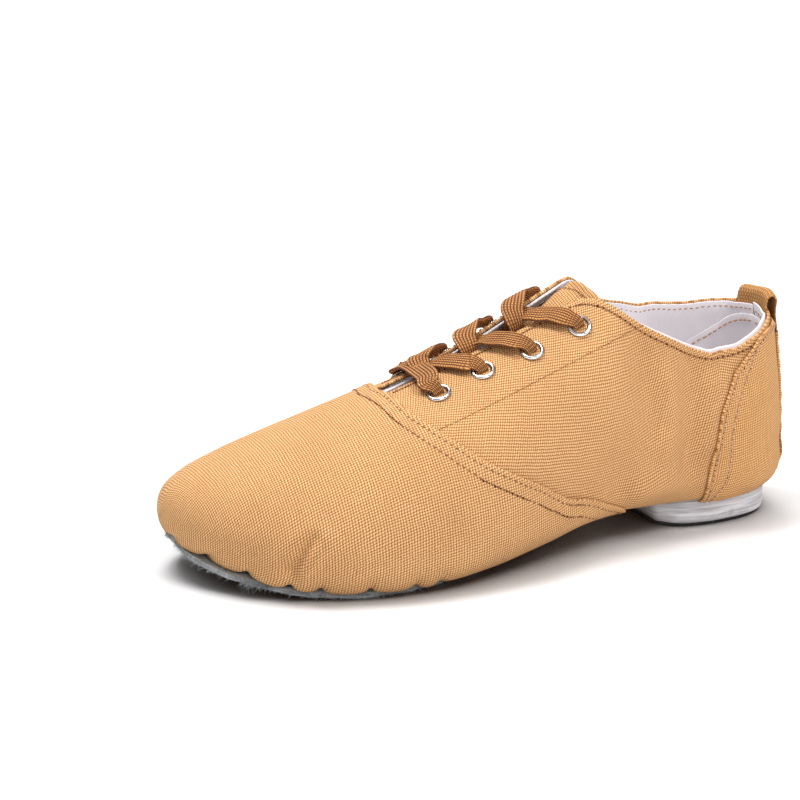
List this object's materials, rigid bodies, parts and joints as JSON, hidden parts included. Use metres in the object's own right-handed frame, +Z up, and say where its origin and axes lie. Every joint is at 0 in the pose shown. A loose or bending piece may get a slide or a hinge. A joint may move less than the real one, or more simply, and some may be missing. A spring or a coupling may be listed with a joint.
{
  "type": "lace-up split-sole dance shoe",
  "caption": "Left canvas lace-up dance shoe with a low block heel, a flexible cloth arch and a separate suede forefoot sole.",
  "frame": {"origin": "centre of the ground face of the heel top lift, on the floor plane", "axes": "+Z up off the floor, toe toward -Y, outer side of the foot toward +X"},
  "size_m": [0.0927, 0.2519, 0.0954],
  "materials": {
    "top_lift_rubber": "matte black rubber, slightly scuffed",
    "heel_painted": "off-white painted moulded heel block, worn streaks and grey scuffs",
    "filler_plastic": "plain off-white moulded filler",
    "seat_board": "pressed fibre board, matte",
    "heel_nail_steel": "bright wire nails",
    "stiffener": "resin-stiffened buckram, matte",
    "heel_patch_cotton": "white cotton drill",
    "counter_canvas": "tan cotton duck canvas, two rows of pale stitches",
    "backstay_canvas": "tan cotton duck canvas tape",
    "pull_tape": "tan ribbed cotton tape",
    "quarter_canvas": "tan cotton duck canvas, about ten threads per centimetre",
    "quarter_lining": "white cotton drill with a faint pink tint",
    "stay_tape": "white cotton stay tape",
    "eyelet_nickel": "bright nickel plate",
    "lace_braid": "brown flat ribbed cotton braid",
    "aglet_plastic": "brown film wrap",
    "tongue_canvas": "tan cotton duck canvas",
    "tongue_lining": "white cotton drill",
    "vamp_canvas": "tan cotton duck canvas, two rows of dark stitches at the rear edge",
    "vamp_lining": "white cotton drill",
    "arch_canvas": "tan cotton duck canvas",
    "sock_cotton": "white cotton sock lining on thin foam",
    "insole_cotton": "white cotton covered insole board",
    "midsole_foam": "dark foam rubber midsole",
    "sole_suede": "grey split suede, nap up, frayed edge"
  },
  "bodies": {
    "heel": {"heel_block": "heel_painted", "heel_top_lift": "top_lift_rubber", "heel_nails": "heel_nail_steel", "heel_filler": "filler_plastic", "heel_seat_board": "seat_board", "heel_counter_panel": "counter_canvas", "backstay_strip": "backstay_canvas", "heel_stiffener": "stiffener", "heel_lining_patch": "heel_patch_cotton"},
    "midfoot": {"outer_quarter": "quarter_canvas", "inner_quarter": "quarter_canvas", "outer_quarter_lining": "quarter_lining", "inner_quarter_lining": "quarter_lining", "outer_eyelet_stay": "stay_tape", "inner_eyelet_stay": "stay_tape", "outer_eyelets": "eyelet_nickel", "inner_eyelets": "eyelet_nickel", "lace": "lace_braid", "lace_aglets": "aglet_plastic", "arch_panel": "arch_canvas", "heel_arch_sock": "sock_cotton", "vamp_canvas": "vamp_canvas"},
    "toe": {"forefoot_sole": "sole_suede", "forefoot_midsole": "midsole_foam", "forefoot_insole": "insole_cotton", "vamp_lining": "vamp_lining"},
    "tongue": {"tongue_canvas": "tongue_canvas", "tongue_lining": "tongue_lining"},
    "pull_tab": {"pull_loop": "pull_tape"}
  },
  "joints": [
    {"name": "arch_flex", "type": "hinge", "parent": "heel", "child": "midfoot", "pos_m": [0, -0.036, 0.04], "axis": [1, 0, 0], "range_deg": [-8, 20], "stiffness_Nm_per_rad": 3, "deforming": ["outer_quarter", "inner_quarter", "outer_quarter_lining", "inner_quarter_lining", "arch_panel", "heel_arch_sock"]},
    {"name": "ball_flex", "type": "hinge", "parent": "midfoot", "child": "toe", "pos_m": [0, -0.13, 0.003], "axis": [-1, 0, 0], "range_deg": [0, 45], "stiffness_Nm_per_rad": 1.5, "deforming": ["vamp_canvas", "vamp_lining", "forefoot_insole"]},
    {"name": "tongue_press", "type": "hinge", "parent": "midfoot", "child": "tongue", "pos_m": [-0.007, -0.139, 0.055], "axis": [-1, 0, 0], "range_deg": [0, 12], "stiffness_Nm_per_rad": 0.4},
    {"name": "pull_tab_swing", "type": "hinge", "parent": "heel", "child": "pull_tab", "pos_m": [0, 0.022, 0.076], "axis": [1, 0, 0], "range_deg": [-35, 35], "stiffness_Nm_per_rad": 0.05, "deforming": ["pull_loop"]}
  ]
}
